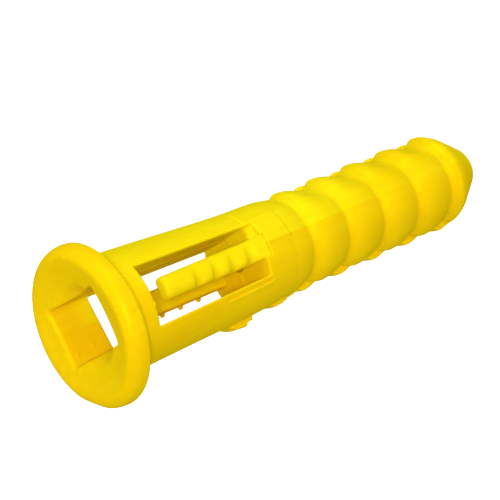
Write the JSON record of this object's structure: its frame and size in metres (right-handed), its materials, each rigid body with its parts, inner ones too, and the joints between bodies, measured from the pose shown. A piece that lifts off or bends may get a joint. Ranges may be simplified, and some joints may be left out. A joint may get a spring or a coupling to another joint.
{
  "type": "wall anchor",
  "caption": "Yellow plastic wall anchor: dished round flange, windowed cage with serrated tongues, plain sleeve and split ribbed legs with a blunt nose.",
  "frame": {"origin": "centre of the flange's back face, the face that seats on the wall", "axes": "+Y along the anchor into the wall, towards the tip; +Z through the upper window; +X to the right bar"},
  "size_m": [0.0096, 0.0317, 0.0096],
  "materials": {
    "yellow_plastic": "satin injection-moulded polyethylene, slightly translucent"
  },
  "bodies": {
    "anchor": {"flange": "yellow_plastic", "mouth": "yellow_plastic", "neck_collar": "yellow_plastic", "left_bar": "yellow_plastic", "right_bar": "yellow_plastic", "bar_lug": "yellow_plastic", "sleeve": "yellow_plastic", "sleeve_lug": "yellow_plastic"},
    "upper_tongue": {"upper_tongue_blade": "yellow_plastic", "upper_tongue_teeth": "yellow_plastic", "upper_tongue_hinge": "yellow_plastic"},
    "lower_tongue": {"lower_tongue_blade": "yellow_plastic", "lower_tongue_teeth": "yellow_plastic", "lower_tongue_hinge": "yellow_plastic"},
    "upper_leg": {"upper_leg_shell": "yellow_plastic", "upper_leg_ridges": "yellow_plastic", "upper_leg_nose": "yellow_plastic"},
    "lower_leg": {"lower_leg_shell": "yellow_plastic", "lower_leg_ridges": "yellow_plastic", "lower_leg_nose": "yellow_plastic"}
  },
  "joints": [
    {"name": "upper_tongue_flex", "type": "hinge", "parent": "anchor", "child": "upper_tongue", "pos_m": [0, 0.01045, 0.00215], "axis": [-1, 0, 0], "range_deg": [-8, 10], "stiffness_Nm_per_rad": 0.0001},
    {"name": "lower_tongue_flex", "type": "hinge", "parent": "anchor", "child": "lower_tongue", "pos_m": [0, 0.01045, -0.00215], "axis": [1, 0, 0], "range_deg": [-8, 10], "stiffness_Nm_per_rad": 0.0001},
    {"name": "upper_leg_spread", "type": "hinge", "parent": "anchor", "child": "upper_leg", "pos_m": [0, 0.01315, 0.00278], "axis": [1, 0, 0], "range_deg": [0, 4], "stiffness_Nm_per_rad": 0.002},
    {"name": "lower_leg_spread", "type": "hinge", "parent": "anchor", "child": "lower_leg", "pos_m": [0, 0.01315, -0.00278], "axis": [-1, 0, 0], "range_deg": [0, 4], "stiffness_Nm_per_rad": 0.002}
  ],
  "couplings": [
    {"joint": "lower_leg_spread", "follows": "upper_leg_spread", "ratio": 1}
  ]
}
